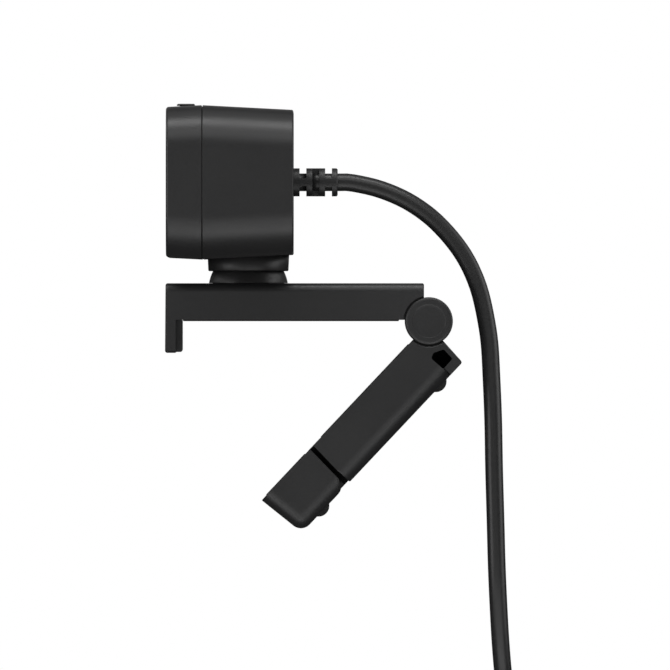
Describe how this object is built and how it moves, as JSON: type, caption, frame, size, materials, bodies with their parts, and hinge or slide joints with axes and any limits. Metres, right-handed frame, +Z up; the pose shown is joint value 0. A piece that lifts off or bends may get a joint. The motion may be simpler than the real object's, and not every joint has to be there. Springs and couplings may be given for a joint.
{
  "type": "webcam",
  "caption": "Clip-on webcam with a tilting, swivelling head, sliding privacy shutter, folding monitor clip with hinged foot, and a USB cord.",
  "frame": {"origin": "on the arm's underside pad, straight below the head's swivel axis", "axes": "-Y the way the camera looks, +Z up away from the monitor's top edge, +X to the camera's left hand"},
  "size_m": [0.086, 0.0806, 0.2033],
  "materials": {
    "matte_shell": "fine moulded texture",
    "gloss_panel": "polished",
    "trim_ring": "satin",
    "clear_window": "clear",
    "lens_glass": "coated",
    "inner_plastic": "plain moulded",
    "sensor": "polished",
    "circuit_board": "solder mask",
    "chip_plastic": "epoxy",
    "nylon": "natural",
    "wire_jacket": "smooth",
    "plated_steel": "nickel plated",
    "screw_steel": "zinc plated",
    "brass_insert": "turned",
    "rubber": "matt",
    "cord_jacket": "smooth soft PVC",
    "strap": "woven hook and loop"
  },
  "bodies": {
    "arm": {"arm_shell": "matte_shell", "arm_base": "matte_shell", "arm_screws": "screw_steel", "underside_pad": "rubber", "lip_pad": "rubber", "swivel_washer": "nylon", "hinge_pin": "plated_steel", "hinge_cap_left": "matte_shell", "hinge_cap_right": "matte_shell", "hinge_washers": "nylon"},
    "ball": {"ball_base": "matte_shell", "swivel_clip": "plated_steel", "usb_cord": "cord_jacket", "cord_coil": "cord_jacket", "cord_tie": "strap", "cord_tail": "cord_jacket", "plug_body": "cord_jacket", "plug_shell": "plated_steel", "plug_contacts": "nylon"},
    "head": {"front_bezel": "matte_shell", "front_panel": "gloss_panel", "lens_ring": "trim_ring", "lens_window": "clear_window", "rear_housing": "matte_shell", "lens_barrel": "inner_plastic", "lens_elements": "lens_glass", "lens_holder": "inner_plastic", "ir_filter": "lens_glass", "image_sensor": "sensor", "main_board": "circuit_board", "board_chips": "chip_plastic", "cable_connector": "nylon", "internal_wires": "wire_jacket", "microphones": "plated_steel", "mic_gaskets": "rubber", "status_led": "nylon", "light_pipe": "clear_window", "shutter_guide": "inner_plastic", "board_screws": "screw_steel", "housing_screws": "screw_steel", "collar": "matte_shell", "neck_plate": "plated_steel", "neck_bolt": "plated_steel", "friction_cup": "nylon", "neck_spring": "plated_steel", "neck_nut": "plated_steel", "strain_relief": "cord_jacket"},
    "shutter": {"shutter_slider": "matte_shell", "shutter_blade": "inner_plastic"},
    "leg": {"leg_shell": "matte_shell", "leg_cover": "matte_shell", "leg_pad": "rubber", "leg_screws": "screw_steel", "leg_bumps": "rubber", "tripod_insert": "brass_insert", "foot_pin": "plated_steel"},
    "foot": {"foot_shell": "matte_shell", "foot_pad": "rubber", "foot_bumps": "rubber"}
  },
  "joints": [
    {"name": "head_swivel", "type": "hinge", "parent": "arm", "child": "ball", "pos_m": [0, 0, 0.0071], "axis": [0, 0, 1], "continuous": true},
    {"name": "head_tilt", "type": "hinge", "parent": "ball", "child": "head", "pos_m": [0, 0, 0.0071], "axis": [1, 0, 0], "range_deg": [-15, 15], "deforming": ["usb_cord"]},
    {"name": "shutter_slide", "type": "slide", "parent": "head", "child": "shutter", "axis": [1, 0, 0], "range_m": [-0.0125, 0]},
    {"name": "leg_hinge", "type": "hinge", "parent": "arm", "child": "leg", "pos_m": [0, 0.0404, 0], "axis": [1, 0, 0], "range_deg": [-46.5, 30]},
    {"name": "foot_hinge", "type": "hinge", "parent": "leg", "child": "foot", "pos_m": [0, 0.01815, -0.03688], "axis": [1, 0, 0], "range_deg": [0, 90]}
  ]
}
